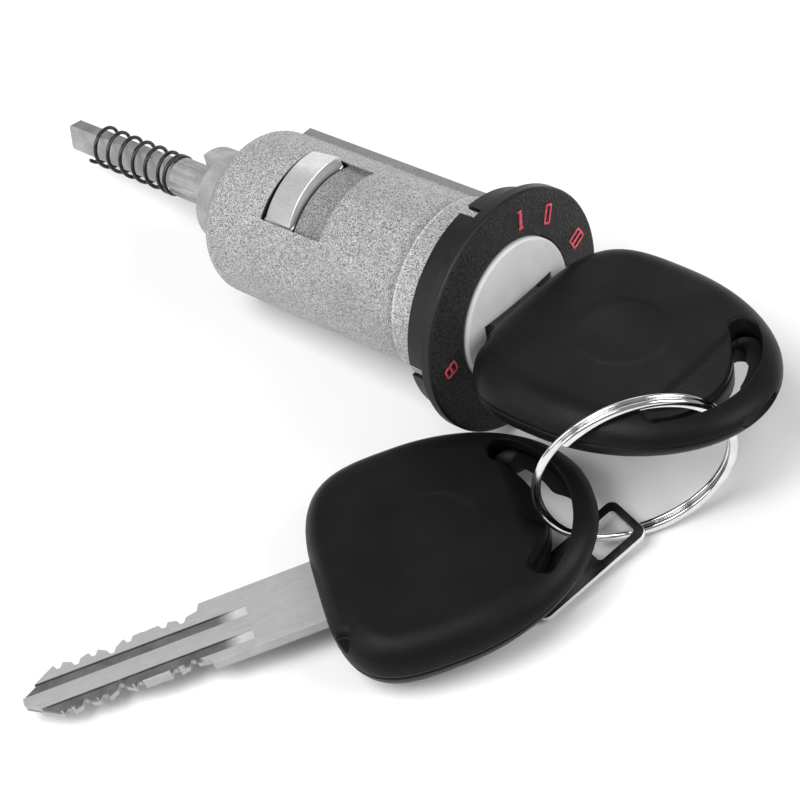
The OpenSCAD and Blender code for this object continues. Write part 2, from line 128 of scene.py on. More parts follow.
RING_CENTRE = np.array(JOINTS["tag_swing"]["pos_m"]) / MM
KEY_ONE = (turned((KEY_ANGLE, 0, 0)), np.array([KEY_X, 0, 0]))
SPARE_AXES = turned(SPARE_TURN)
SPARE_PIVOT = np.array(JOINTS["key_two_swing"]["pos_m"]) / MM
KEY_TWO = (SPARE_AXES, SPARE_PIVOT - SPARE_AXES @ np.array(SPARE_CROSSING))
RING_PLACE = (turned(RING_TILT), RING_CENTRE)
COIL_PLACE = (turned((0, -90, 0)), np.array([COIL_X, 0, 0]))
PAWL_AXES = turned((PAWL_ANGLE, 0, 0))
PAWL_COIL_PLACE = (PAWL_AXES @ turned((-90, 0, 0)), PAWL_AXES @ np.array([PAWL_X, POCKET_FLOOR, 0]))
TAG_AXES = turned(TAG_TURN)
TAG_WIRE = RING_CENTRE + RING_R * unit(np.array(TAG_ARM))
TAG_PLACE = (TAG_AXES, TAG_WIRE + TAG_AXES @ np.array([TAG_SLACK, 0, 0]))


# Shader values and finishes

class Value:
    """A socket of a finish. Arithmetic on it adds Math nodes."""

    def __init__(self, finish, socket):
        self.finish, self.socket = finish, socket

    def math(self, operation, a, b):
        return self.finish.node("Math", {"operation": operation}, {0: a, 1: b})

    def __add__(self, other):
        return self.math("ADD", self, other)

    def __radd__(self, other):
        return self.math("ADD", other, self)

    def __sub__(self, other):
        return self.math("SUBTRACT", self, other)

    def __rsub__(self, other):
        return self.math("SUBTRACT", other, self)

    def __mul__(self, other):
        return self.math("MULTIPLY", self, other)

    def __rmul__(self, other):
        return self.math("MULTIPLY", other, self)

    def __abs__(self):
        return self.math("ABSOLUTE", self, 0.0)

    def sign(self):
        return self.math("SIGN", self, 0.0)

    def upper(self, other):
        return self.math("MAXIMUM", self, other)


class Finish:
    """A material. node() makes each of its nodes: the type, its settings, then its sockets."""

    def __init__(self, name):
        self.material = bpy.data.materials.new(name)
        self.material.use_nodes = True
        self.tree = self.material.node_tree
        self.tree.nodes.clear()

    def node(self, kind, settings=(), sockets=(), out=0):
        made = self.tree.nodes.new("ShaderNode" + kind)
        for key, value in dict(settings).items():
            setattr(made, key, value)
        for key, value in dict(sockets).items():
            if isinstance(value, Value):
                self.tree.links.new(value.socket, made.inputs[key])
            else:
                made.inputs[key].default_value = value
        return Value(self, made.outputs[out]) if made.outputs else made

    def place(self, stretch=(1, 1, 1), turn=(0, 0, 0)):
        """Object coordinates in millimetres, turned and stretched."""
        coords = self.node("TexCoord", out=3)
        turned_back = self.node("Mapping", {"vector_type": "VECTOR"},
                                {"Vector": coords, "Rotation": [math.radians(a) for a in turn]})
        return self.node("Mapping", {"vector_type": "VECTOR"},
                         {"Vector": turned_back, "Scale": [s / MM for s in stretch]})

    def own_axes(self, origin, turn):
        """Coordinates in a piece's own frame, in millimetres: x, y and z."""
        coords = self.node("TexCoord", out=3)
        back = self.node("Mapping", {"vector_type": "TEXTURE"},
                         {"Vector": coords, "Location": [v * MM for v in origin],
                          "Rotation": [math.radians(a) for a in turn], "Scale": [MM] * 3})
        return [self.node("SeparateXYZ", {}, {"Vector": back}, out=i) for i in range(3)]

    def noise(self, place, scale, detail=2.0, roughness=0.5):
        return self.node("TexNoise", {}, {"Vector": place, "Scale": scale, "Detail": detail,
                                          "Roughness": roughness})

    def specks(self, place, scale):
        """A random value for each grain-sized cell."""
        colour = self.node("TexVoronoi", {"feature": "F1"}, {"Vector": place, "Scale": scale}, out=1)
        return self.node("SeparateColor", {}, {"Color": colour})

    def from_axis(self):
        """Distance from the lock's axis, in millimetres."""
        return self.node("VectorMath", {"operation": "LENGTH"}, {0: self.place((0, 1, 1))}, out=1)

    def along_axis(self):
        """Place along the lock's axis, in millimetres."""
        return self.node("SeparateXYZ", {}, {"Vector": self.place()})

    def ramp(self, value, low, high, start=0.0, end=1.0):
        """value between low and high, carried to start and end, and held beyond them."""
        return self.node("MapRange", {"clamp": True}, {"Value": value, "From Min": low, "From Max": high,
                                                       "To Min": start, "To Max": end})

    def mix(self, share, first, second):
        """A colour between two colours."""
        return self.node("Mix", {"data_type": "RGBA"}, {0: share, 6: first, 7: second}, out=2)

    def bump(self, height, distance, strength=1.0):
        """Surface relief: distance is in millimetres."""
        return self.node("Bump", {}, {"Height": height, "Distance": distance * MM, "Strength": strength})

    def surface(self, **sockets):
        """The principled surface, with underscores for the spaces in socket names."""
        shader = self.node("BsdfPrincipled", {}, {key.replace("_", " "): v for key, v in sockets.items()})
        self.node("OutputMaterial", {}, {"Surface": shader})
        return self.material


def grey(level):
    """A neutral colour."""
    return (level, level, level, 1.0)


def zinc_cast():
    """Zinc casting: fine sand grain with bright and dark pits. The band is a little brighter, with a painted
    highlight on its front edge and painted shade behind its step; the rib is smoother and darker, the
    window's floor has painted shade and the pawl's pocket painted black shade."""
    f = Finish("zinc_cast")
    place = f.place()
    x, radius = f.along_axis(), f.from_axis()
    sand = f.noise(place, 6.2, 2.0, 0.65)
    pits = f.specks(place, 7.4)
    patches = f.noise(place, 0.14, 3.0)
    behind_band = f.ramp(x, BAND_END - 0.3, BAND_END - 0.1, 1.0, 0.0)
    rib = f.ramp(radius, BODY_R + 0.1, BODY_R + 0.3) * behind_band
    # painted shade: the window's floor is darkened as shade in the recess
    sunk = f.ramp(radius, BODY_R - 0.7, BODY_R - 0.3, 1.0, 0.0)
    # painted shade: the pawl's pocket and the gap round the pawl are painted almost black
    beside = f.ramp(abs(x - PAWL_X), PAWL_LEN / 2 + 0.4, PAWL_LEN / 2 + 0.6, 1.0, 0.0)
    pocket = beside * f.ramp(radius, BODY_R - 0.3, BODY_R - 0.1, 1.0, 0.0)
    # painted shade: the body is darkened just behind the band's step
    step_shade = f.ramp(x, BAND_END - 2.2, BAND_END - 0.4) * behind_band * (1 - rib)
    # painted highlight: a bright line along the band's front edge
    edge_highlight = f.ramp(abs(x - BAND_END - 0.25), 0.1, 0.3, 1.0, 0.0) * (1 - behind_band)
    grain = (sand * 0.55 + pits * 0.45 - 0.5) * f.ramp(patches, 0.35, 0.65, 0.8, 1.2) * (1 - rib * 0.75)
    level = f.ramp(grain + patches * 0.14, -0.14, 0.3, 0.12, 0.68)
    level = level * (1 - rib * 0.45) * (1 - sunk * 0.3) * (1 - pocket * 0.96) * (1 - step_shade * 0.3)
    level = level * f.ramp(behind_band, 0, 1, 1.1, 1.0) + edge_highlight * 0.12
    return f.surface(Base_Color=f.mix(level, grey(0), grey(1)), Metallic=0.5,
                     Roughness=f.ramp(sand, 0.3, 0.7, 0.42, 0.58), Normal=f.bump(grain, 0.26))


def tail_zinc():
    """Smoother casting of the tail: dull grey with a fine even grain and darker handling patches."""
    f = Finish("tail_zinc")
    place = f.place()
    sand = f.noise(place, 4.0, 2.0, 0.6)
    patches = f.noise(place, 0.3, 3.0)
    return f.surface(Base_Color=f.mix(f.ramp(sand * 0.5 + patches * 0.5, 0.3, 0.7), grey(0.19), grey(0.4)),
                     Metallic=0.15, Roughness=f.ramp(patches, 0.3, 0.7, 0.6, 0.5), Normal=f.bump(sand, 0.03))


def black_plastic():
    """Black moulding of the bezel: pebbled leather grain on the front face, fine satin grain on the skirt."""
    f = Finish("black_plastic")
    place = f.place()
    wrinkles = f.noise(place, 2.6, 3.0, 0.6)
    crease = f.ramp(wrinkles, 0.46, 0.62)
    fine = f.noise(place, 5.0, 2.0, 0.6)
    patches = f.noise(place, 0.2, 2.0)
    front = f.ramp(f.along_axis(), FACE_X - 0.12, FACE_X - 0.04)
    grain = (crease * 0.8 + fine * 0.5) * front + fine * 0.1
    tone = f.ramp(crease * fine * front + patches * 0.1, 0.05, 0.6)
    return f.surface(Base_Color=f.mix(tone, grey(0.003), grey(0.05)), Specular_IOR_Level=0.3,
                     Roughness=f.ramp(patches, 0.3, 0.7, 0.38, 0.48), Normal=f.bump(grain, 0.5))


def satin_grey():
    """Satin face disc: very fine even grain, soft patches."""
    f = Finish("satin_grey")
    place = f.place()
    patches = f.noise(place, 0.25, 3.0)
    fine = f.noise(place, 5.0, 2.0)
    return f.surface(Base_Color=f.mix(f.ramp(patches, 0.3, 0.7), grey(0.58), grey(0.66)),
                     Roughness=f.ramp(fine, 0.3, 0.7, 0.5, 0.6), Normal=f.bump(fine, 0.01, 0.5))


def key_nickel(name, place, turn):
    """Nickel-plated blade: fine lines along it, and painted shade darkening the milled grooves of both sides.
    """
    f = Finish(name)
    x, y, z = f.own_axes(place[1], turn)
    side = y * z.sign()
    lines = f.noise(f.place((0.12, 5, 5), [-a for a in turn]), 1.0, 3.0, 0.6)
    patches = f.noise(f.place(), 0.35, 4.0, 0.6)
    across = [f.ramp(abs(side - middle), GROOVE_W / 2, GROOVE_W / 2 + 0.12, 1.0, 0.0) for middle in GROOVES]
    groove = across[0].upper(across[1]) * f.ramp(abs(z), BLADE_T / 2 - 0.12, BLADE_T / 2 - 0.03, 1.0, 0.0)
    # painted shade in the milled grooves, uneven and fading out towards their ends
    groove_shade = groove * f.ramp(patches, 0.3, 0.7, 0.7, 0.95) * f.ramp(x, GROOVE_END - 3.0, GROOVE_END, 1.0, -0.6)
    level = f.ramp(lines * 0.5 + patches * 0.5, 0.32, 0.66, 0.32, 0.42) * (1 - groove_shade * 0.82)
    return f.surface(Base_Color=f.mix(level, grey(0), grey(1)), Metallic=0.4,
                     Roughness=f.ramp(patches, 0.3, 0.7, 0.42, 0.32), Normal=f.bump(lines, 0.012, 0.6))


def worked_steel(name, level, metal, rough, stretch, dirt=0.5):
    """Worked metal: fine lines along one way, patches of handling dirt."""
    f = Finish(name)
    lines = f.noise(f.place(stretch), 1.0, 3.0, 0.6)
    patches = f.noise(f.place(), 0.35, 4.0, 0.6)
    shade = f.ramp(lines * 0.5 + patches * 0.5, 0.32, 0.66)
    return f.surface(Base_Color=f.mix(shade, grey(level * (1 - dirt)), grey(level)), Metallic=metal,
                     Roughness=f.ramp(patches, 0.3, 0.7, rough + 0.1, rough),
                     Normal=f.bump(lines, 0.012, 0.6))


def key_plastic():
    """Black key moulding: very fine spark grain, faint patches worn shiny."""
    f = Finish("key_plastic")
    place = f.place()
    grain = f.noise(place, 3.4, 2.0, 0.6)
    worn = f.noise(place, 0.09, 3.0)
    return f.surface(Base_Color=f.mix(f.ramp(worn, 0.35, 0.7), grey(0.005), grey(0.009)),
                     Specular_IOR_Level=0.09,
                     Roughness=f.ramp(worn * 0.8 + grain * 0.2, 0.35, 0.65, 0.44, 0.34),
                     Normal=f.bump(grain, 0.07, 0.8))


def dark_spring():
    """Oiled black spring wire."""
    f = Finish("dark_spring")
    place = f.place()
    patches = f.noise(place, 0.8, 3.0)
    return f.surface(Base_Color=f.mix(f.ramp(patches, 0.3, 0.7), grey(0.012), grey(0.05)), Metallic=0.6,
                     Roughness=f.ramp(patches, 0.3, 0.7, 0.24, 0.38), Normal=f.bump(patches, 0.02, 0.5))


def wafer_brass():
    """Blanked brass of the wafers."""
    f = Finish("wafer_brass")
    patches = f.noise(f.place(), 0.9, 4.0, 0.6)
    dull, bright_brass = (0.38, 0.25, 0.08, 1), (0.62, 0.45, 0.17, 1)
    return f.surface(Base_Color=f.mix(f.ramp(patches, 0.3, 0.7), dull, bright_brass), Metallic=1.0,
                     Roughness=f.ramp(patches, 0.3, 0.7, 0.42, 0.28),
                     Normal=f.bump(patches, 0.02, 0.5))


def chromed_wire():
    """Polished ring wire with hairline scratches."""
    f = Finish("chromed_wire")
    scratch = f.noise(f.place((2, 2, 2)), 1.5, 4.0, 0.7)
    haze = f.noise(f.place(), 0.3, 2.0)
    return f.surface(Base_Color=f.mix(f.ramp(haze, 0.3, 0.7), grey(0.62), grey(0.8)), Metallic=1.0,
                     Roughness=f.ramp(scratch, 0.35, 0.7, 0.09, 0.15), Normal=f.bump(scratch, 0.001, 0.3))


def dark_sheet():
    """Blackened sheet with bare bright edges, by the mesh's own edge attribute."""
    f = Finish("dark_sheet")
    patches = f.noise(f.place(), 0.7, 4.0, 0.6)
    edge = f.node("Attribute", {"attribute_name": "edge"}, {}, out=2)
    bare = f.ramp(edge + (patches - 0.5) * 0.5, 0.45, 0.65)
    dark = f.mix(f.ramp(patches, 0.3, 0.7), grey(0.008), grey(0.022))
    return f.surface(Base_Color=f.mix(bare, dark, grey(0.75)), Metallic=f.ramp(bare, 0, 1, 0.2, 0.8),
                     Roughness=f.ramp(patches, 0.3, 0.7, 0.3, 0.42), Normal=f.bump(patches, 0.02, 0.5))


def mark_red():
    """Stamped red paint, a little uneven."""
    f = Finish("mark_red")
    patches = f.noise(f.place(), 1.6, 3.0)
    return f.surface(Base_Color=f.mix(f.ramp(patches, 0.3, 0.7), (0.5, 0.035, 0.06, 1), (0.85, 0.1, 0.15, 1)),
                     Roughness=f.ramp(patches, 0.3, 0.7, 0.5, 0.36), Normal=f.bump(patches, 0.02, 0.4))


# Meshes from arrays

def placed(points, place):
    """Points turned by the place's matrix and moved to its origin."""
    axes, origin = place
    return points @ axes.T + origin


def grid_mesh(name, points, ring_rows=False):
    """A closed surface from a grid of points [rows, columns, 3] in millimetres. Columns close on themselves.
    Rows close on themselves too with ring_rows, and else the first and last rows get a face each."""
    rows, cols = points.shape[:2]
    index = np.arange(rows * cols).reshape(rows, cols)
    below = index if ring_rows else index[:-1]
    above = np.roll(index, -1, 0) if ring_rows else index[1:]
    quads = np.stack([below, np.roll(below, -1, 1), np.roll(above, -1, 1), above], -1).reshape(-1, 4)
    faces = quads.tolist()
    if not ring_rows:
        faces += [index[0][::-1].tolist(), index[-1].tolist()]
    mesh = bpy.data.meshes.new(name)
    flat = points.reshape(-1, 3)
    mesh.from_pydata((flat * MM).tolist(), [], faces)
    corners = flat[quads] - flat.mean(0)
    normals = np.cross(corners[:, 2] - corners[:, 0], corners[:, 3] - corners[:, 1])
    if (normals * corners.mean(1)).sum() < 0:
        mesh.flip_normals()
    mesh.shade_smooth()
    return mesh


def piece(mesh, body, finish, slot, *nodes):
    """A mesh as a piece of the object: it rides on its body, has its finish, and stands for CAD nodes."""
    made = bpy.data.objects.new(mesh.name, mesh)
    bpy.context.scene.collection.objects.link(made)
    mesh.materials.clear()
    mesh.materials.append(finish)
    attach(made, body)
    if nodes:
        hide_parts(*nodes)
    return made


def eased(node, body, finish, slot, width, segments=3, crease=26):
    """A CAD solid with its sharp edges eased: a merged copy whose flat faces are joined, under a bevel."""
    mesh = frame["nodes"][node].data.copy()
    mesh.name = node + "_eased"
    work = bmesh.new()
    work.from_mesh(mesh)
    bmesh.ops.remove_doubles(work, verts=work.verts, dist=1e-7)
    bmesh.ops.dissolve_limit(work, angle_limit=math.radians(0.5), verts=work.verts, edges=work.edges)
    work.to_mesh(mesh)
    work.free()
    mesh.shade_smooth()
    mesh.set_sharp_from_angle(angle=math.radians(crease))
    made = piece(mesh, body, finish, slot, node)
    bevel = made.modifiers.new("ease", "BEVEL")
    bevel.width, bevel.segments, bevel.limit_method = width * MM, segments, "ANGLE"
    bevel.angle_limit, bevel.harden_normals = math.radians(28), True
    bevel.use_clamp_overlap = True
    return made


def smooth_min(a, b, blend):
    """The lower of two heights, with a rounded change-over of that size."""
    share = np.clip(0.5 + (b - a) / (2 * blend), 0, 1)
    return b * (1 - share) + a * share - blend * share * (1 - share)


def smooth_step(x):
    """0 to 1 with level ends."""
    x = np.clip(x, 0, 1)
    return x * x * (3 - 2 * x)


def head_outline(angle):
    """Plan points and outward normals of the head's edge: half an ellipse to the ring end, and a squarer half
    |x|^n + |y|^n = 1 to the blade end."""
    c, s = np.cos(angle), np.sin(angle)
    power = np.where(c < 0, LOBE_POWER, 2.0)
    reach = np.where(c < 0, LOBE_X, HEAD_LEN - LOBE_X)
    x, y = np.sign(c) * np.abs(c) ** (2 / power), np.sign(s) * np.abs(s) ** (2 / power)
    slope = np.stack([np.sign(c) * np.abs(x) ** (power - 1) / reach,
                      np.sign(s) * np.abs(y) ** (power - 1) / (HEAD_W / 2)], -1)
    return np.stack([LOBE_X + reach * x, HEAD_W / 2 * y], -1), unit(slope)


def slot_edge(angle, ledge):
    """Plan points of the ring slot's edge, one for each outline angle: outer arc, round end, inner arc. A
    ledge stands into the slot from its outer arc, on the side that the ring leaves free."""
    a = np.degrees(np.abs(angle))
    side = np.sign(angle + 1e-12)
    outer = np.radians(np.clip(a / OUTER_END, 0, 1) * SLOT_ANGLE)
    inner = np.radians((1 - np.clip((a - INNER_START) / (180 - INNER_START), 0, 1)) * SLOT_ANGLE)
    end = np.radians(SLOT_ANGLE + np.clip((a - OUTER_END) / (INNER_START - OUTER_END), 0, 1) * 180)
    on_outer, on_inner = a < OUTER_END, a > INNER_START
    stand = ledge * smooth_step((side * np.degrees(outer) + 2) / 14)
    radius = np.where(on_outer, SLOT_OUT - stand, np.where(on_inner, SLOT_IN, SLOT_R - stand / 2))
    sweep = np.where(on_outer, outer, np.where(on_inner, inner, math.radians(SLOT_ANGLE)))
    cap = np.where(on_outer | on_inner, 0, (SLOT_W - stand) / 2)
    return np.stack([SLOT_X + radius * np.cos(sweep) + cap * np.cos(end),
                     side * (radius * np.sin(sweep) + cap * np.sin(end))], -1)


def head_shell(name, place, upper):
    """One half of a key head. Columns run round the outline and, beside it, round the ring slot. Rows start
    at the seam, roll over the edge as a quarter ellipse, cross the sloping top to the slot, and go down its
    wall. On top, the scoop is a slope under the slot's near edge, and the dish a faint round hollow."""
    angle = np.linspace(-math.pi, math.pi, 420, endpoint=False)
    edge, normal = head_outline(angle)
    slot = slot_edge(angle, 0.0 if upper else SLOT_LEDGE)
    span = np.linalg.norm(slot - edge, axis=-1)
    roll = smooth_min(0.6 * span, np.full_like(span, HEAD_ROUND), 0.8)
    roll = np.minimum(roll, HEAD_ROUND)
    roll_end = np.arccos(1 - roll / HEAD_ROUND)
    top_scale = HEAD_H * (1 - HEAD_TAPER * edge[:, 0] / HEAD_LEN)

    notch = smooth_step((NOTCH_W / 2 - np.abs(edge[:, 1])) / 0.4) * (edge[:, 0] > HEAD_LEN / 2)
    gap_z = SEAM_Z + NOTCH_Z * notch
    gap_in = SEAM_IN + NOTCH_IN * notch
    roll_start = np.arcsin(gap_z / top_scale)
    turn = roll_start + (roll_end - roll_start) * np.linspace(0, 1, 22)[:, None]
    inset = HEAD_ROUND * (1 - np.cos(turn))
    inset = np.concatenate([np.stack([gap_in, gap_in]), inset])
    rolled = edge - inset[..., None] * normal
    start, reach = rolled[-1], np.linalg.norm(slot - rolled[-1], axis=-1)

    lip = np.minimum(SLOT_LIP, 0.4 * reach)
    across = (reach - lip) * np.linspace(0, 1, 50)[1:, None]
    over = reach - lip * (1 - np.sin(np.linspace(0, math.pi / 2, 8)[1:, None]))
    along = np.concatenate([across, over])
    crossing = start + unit(slot - start) * along[..., None]
    plan = np.concatenate([rolled, crossing, slot[None], slot[None]])

    ring, _ = head_outline(np.linspace(-math.pi, math.pi, 1440, endpoint=False))
    flat = crossing.reshape(-1, 2)
    gaps = (flat ** 2).sum(1)[:, None] + (ring ** 2).sum(1) - 2 * flat @ ring.T
    depth = np.sqrt(gaps.min(1)).reshape(along.shape)
    depth = np.clip(np.concatenate([inset, depth, depth[-1:], depth[-1:]]), 0, HEAD_ROUND)
    z = HEAD_H * np.sqrt(1 - (1 - depth / HEAD_ROUND) ** 2) * (1 - HEAD_TAPER * plan[..., 0] / HEAD_LEN)
    z[1] = gap_z

    from_slot = np.hypot(plan[..., 0] - SLOT_X, plan[..., 1])
    if upper:
        scoop = SCOOP_TOP - (plan[..., 0] - SCOOP_X) * SCOOP_DROP / SCOOP_RUN
        z = np.where(from_slot < SLOT_R, smooth_min(z, scoop, 0.35), z)
        dish = np.hypot(plan[..., 0] - DISH_X, plan[..., 1]) / DISH_R
        z -= DISH_DEPTH * smooth_step((1 - dish ** 2) * 4)
        moon = np.hypot(plan[..., 0] - MOON_X, plan[..., 1] - MOON_Y)
        z += (np.minimum(z, MOON_Z) - z) * smooth_step((MOON_R + 0.1 - moon) / 0.3)
    else:
        relief = RELIEF_Z + np.clip(from_slot - SLOT_OUT, 0, None) * RELIEF_SLOPE
        outer = np.abs(np.degrees(angle)) < OUTER_END
        z = np.where(outer, smooth_min(z, relief, 0.3), z)
    left = np.concatenate([np.full_like(inset, 9.0), reach - along, np.zeros((2, len(angle)))])
    z -= lip - np.sqrt(np.clip(lip ** 2 - np.clip(lip - left, 0, None) ** 2, 0, None))
    z[0], z[-1] = 0, 0
    z[-2] = z[-3] * 0.5
    points = np.concatenate([plan, (z if upper else -z)[..., None]], -1)
    return grid_mesh(name, placed(points, place), ring_rows=True)


def wire_mesh(name, path, out, half_out, half_side, corner, sides=20):
    """A wire carried along a path: at each point a section |a|^n + |b|^n = 1 across the path, its a-axis
    outwards. Both ends are rounded off."""
    along = unit(np.gradient(path, axis=0))
    out = unit(out - along * (out * along).sum(-1, keepdims=True))
    side = np.cross(along, out)
    t = np.linspace(0, 2 * math.pi, sides, endpoint=False)
    a = half_out * np.sign(np.cos(t)) * np.abs(np.cos(t)) ** (2 / corner)
    b = half_side * np.sign(np.sin(t)) * np.abs(np.sin(t)) ** (2 / corner)
    run = np.concatenate([[0], np.cumsum(np.linalg.norm(np.diff(path, axis=0), axis=1))])
    near_end = np.minimum(run, run[-1] - run) / (0.5 * half_side)
    size = 0.6 + 0.4 * np.sqrt(1 - (1 - np.clip(near_end, 0, 1)) ** 2)
    section = out[:, None] * a[:, None] + side[:, None] * b[:, None]
    return grid_mesh(name, path[:, None] + section * size[:, None, None])


def split_ring_mesh():
    """Two flat turns of wire, one over the other, joined by one sloping step: its height is a smooth step of
    the angle."""
    total, level = 720 - 3 * RING_JOG, 360 - 2 * RING_JOG
    ends = 0.3 * np.array([0, 0.15, 0.4, 0.75, 1.0])
    turn = np.concatenate([ends, np.linspace(0.6, total - 0.6, 640), total - ends[::-1]])
    height = (WIRE_A + RING_GAP) / 2 * (2 * smooth_step((turn - level) / RING_JOG) - 1)
    angle = np.radians(turn + RING_JOG_AT)
    out = np.stack([np.cos(angle), np.sin(angle), np.zeros_like(angle)], -1)
    path = RING_R * out + height[:, None] * np.array([0, 0, 1])
    return wire_mesh("split_ring_wire", placed(path, RING_PLACE), out @ RING_PLACE[0].T,
                     WIRE_R / 2, WIRE_A / 2, WIRE_CORNER, 24)


def coil_mesh(name, place, radius, wire, length, turns, close, last):
    """A helix with close turns at its ends: each turn rises by the wire's own width there, and by the open
    lead between them."""
    turn = np.linspace(0, turns, int(turns * 60))
    step, top = wire * 1.06, length - wire
    rise = np.interp(turn, [0, close, turns - last, turns], [0, close * step, top - last * step, top])
    angle = 2 * math.pi * turn
    out = np.stack([np.cos(angle), np.sin(angle), np.zeros_like(angle)], -1)
    path = radius * out + (wire / 2 + rise)[:, None] * np.array([0, 0, 1])
    return wire_mesh(name, placed(path, place), out @ place[0].T, wire / 2, wire / 2, 2.0, 16)


def box_reach(angle, half_x, half_y, power=40.0):
    """Distance from the middle of a box to its edge in each direction: (|c/x|^n + |s/y|^n)^(-1/n)."""
    return (np.abs(np.cos(angle) / half_x) ** power + np.abs(np.sin(angle) / half_y) ** power) ** (-1 / power)


def crown_height(plan):
    """Height of the pawl's top: a cylinder whose axis climbs towards the front edge."""
    slope = PAWL_PROUD / PAWL_LEN
    across = np.sqrt(CROWN_R ** 2 - (plan[..., 1] - CROWN_SIDE) ** 2) - CROWN_R
    return BODY_R + PAWL_PROUD / 2 + slope * plan[..., 0] + across * math.hypot(1, slope)


def pawl_mesh():
    """Columns run round the pawl. Rows start in its spring well, cross the underside and the foot, climb the
    walls, roll over the edge as a quarter circle and close in over the crown."""
    angle = np.linspace(0, 2 * math.pi, 600, endpoint=False)
    ahead = np.stack([np.cos(angle), np.sin(angle)], -1)
    block = box_reach(angle, PAWL_LEN / 2, PAWL_W / 2)
    foot = np.maximum(block, box_reach(angle, PAWL_LEN / 2 + FOOT_LIP, FOOT_W / 2))
    well = np.full_like(angle, WELL_R)
    low = np.stack([0.02 * well, well, well, foot, foot, block, block])
    low_height = np.array([WELL_TOP, WELL_TOP, FOOT_BOTTOM, FOOT_BOTTOM, FOOT_TOP, FOOT_TOP, FOOT_TOP + 0.05])
    turn = np.linspace(0, math.pi / 2, 6)[:, None]
    edge = block - PAWL_EASE * (1 - np.cos(turn))
    top = edge[-1] * np.linspace(1, 0.01, 40)[1:, None]
    reach = np.concatenate([low, edge, top])
    plan = reach[..., None] * ahead
    drop = np.concatenate([PAWL_EASE * (1 - np.sin(turn)), np.zeros((len(top), 1))])
    height = np.concatenate([np.broadcast_to(low_height[:, None], low.shape),
                             crown_height(plan[len(low):]) - drop])
    points = np.stack([plan[..., 0], height, plan[..., 1]], -1)
    return grid_mesh("pawl_block", placed(points, (PAWL_AXES, np.array([PAWL_X, 0, 0]))))


def rounded_box(half_x, half_y, corner, side=30, bend=10):
    """Plan points and outward normals round a box: a quarter circle at each corner, then a straight side."""
    quarter = np.arange(4)[:, None] * math.pi / 2
    t = quarter + np.linspace(0, math.pi / 2, bend)
    normal = np.stack([np.cos(t), np.sin(t)], -1)
    centre = np.array([[1, 1], [-1, 1], [-1, -1], [1, -1]]) * (np.array([half_x, half_y]) - corner)
    bends = centre[:, None] + corner * normal
    share = np.linspace(0, 1, side + 2)[1:-1, None]
    sides = bends[:, -1:] * (1 - share) + np.roll(bends, -1, 0)[:, :1] * share
    flat = np.broadcast_to(normal[:, -1:], sides.shape)
    return np.concatenate([bends, sides], 1).reshape(-1, 2), np.concatenate([normal, flat], 1).reshape(-1, 2)


def tag_mesh():
    """A sheet tag: columns run round its outer edge and its four-sided hole, rows run round the sheet's
    section with rounded arrises."""
    hole_x = TAG_RIM + TAG_HOLE_L / 2
    inner, inner_out = rounded_box(TAG_HOLE_L / 2, TAG_HOLE_W / 2, TAG_HOLE_ROUND)
    outer, outer_out = rounded_box(TAG_LEN / 2, TAG_W / 2, TAG_ROUND)
    outer = outer + np.array([TAG_LEN / 2 - hole_x, 0])
    t = np.linspace(0, math.pi / 2, 5)
    off = TAG_EASE * (1 - np.cos(t))
    level = TAG_T / 2 - TAG_EASE + TAG_EASE * np.sin(t)
    rim = outer - outer_out * off[:, None, None]
    hole = inner + inner_out * off[:, None, None]
    plan = np.concatenate([rim, hole[::-1], hole, rim[::-1]])
    height = np.concatenate([level, level[::-1], -level, -level[::-1]])
    points = np.concatenate([plan, np.broadcast_to(height[:, None, None], plan.shape[:2] + (1,))], -1)
    mesh = grid_mesh("tag_sheet", placed(points, TAG_PLACE), ring_rows=True)
    bare = np.concatenate([off, off[::-1], off, off[::-1]]) < 0.6 * TAG_EASE
    bare = np.broadcast_to(bare[:, None], plan.shape[:2])
    attribute = mesh.attributes.new("edge", "FLOAT", "POINT")
    attribute.data.foreach_set("value", bare.astype(np.float32).ravel())
    return mesh


def mark_mesh(name, angle, radius, tilt, path, closed):
    """A stamped stroke on the bezel face: a path in the mark's own upright frame, which carries a low rounded
    profile."""
    path = np.array(path, float)
    if closed:
        path = np.concatenate([path, path[:1]])
    run = np.concatenate([[0], np.cumsum(np.linalg.norm(np.diff(path, axis=0), axis=1))])
    at = np.linspace(0, run[-1], max(8, int(run[-1] / 0.12)))
    line = np.stack([np.interp(at, run, path[:, 0]), np.interp(at, run, path[:, 1])], -1)
    ahead = np.gradient(line, axis=0)
    if closed:
        line = line[:-1]
        ahead = (np.roll(line, -1, 0) - np.roll(line, 1, 0)) / 2
    across = unit(np.stack([-ahead[:, 1], ahead[:, 0]], -1))
    t = np.linspace(0, math.pi, 9)
    spread = np.concatenate([np.cos(t), [-0.9, 0.9]]) * MARK_W / 2
    rise = np.concatenate([np.sin(t) * MARK_H, [-MARK_SUNK, -MARK_SUNK]])
    plan = line[:, None] + across[:, None] * spread[:, None]
    up, lean = math.radians(angle), math.radians(angle + tilt)
    radial = np.array([math.cos(lean), math.sin(lean)])
    sideways = np.array([math.sin(lean), -math.cos(lean)])
    centre = radius * np.array([math.cos(up), math.sin(up)])
    face = centre + plan[..., :1] * sideways + plan[..., 1:] * radial
    x = np.broadcast_to((FACE_X + rise)[None, :, None], face.shape[:2] + (1,))
    return grid_mesh(name, np.concatenate([x, face], -1), ring_rows=closed)


# Pieces

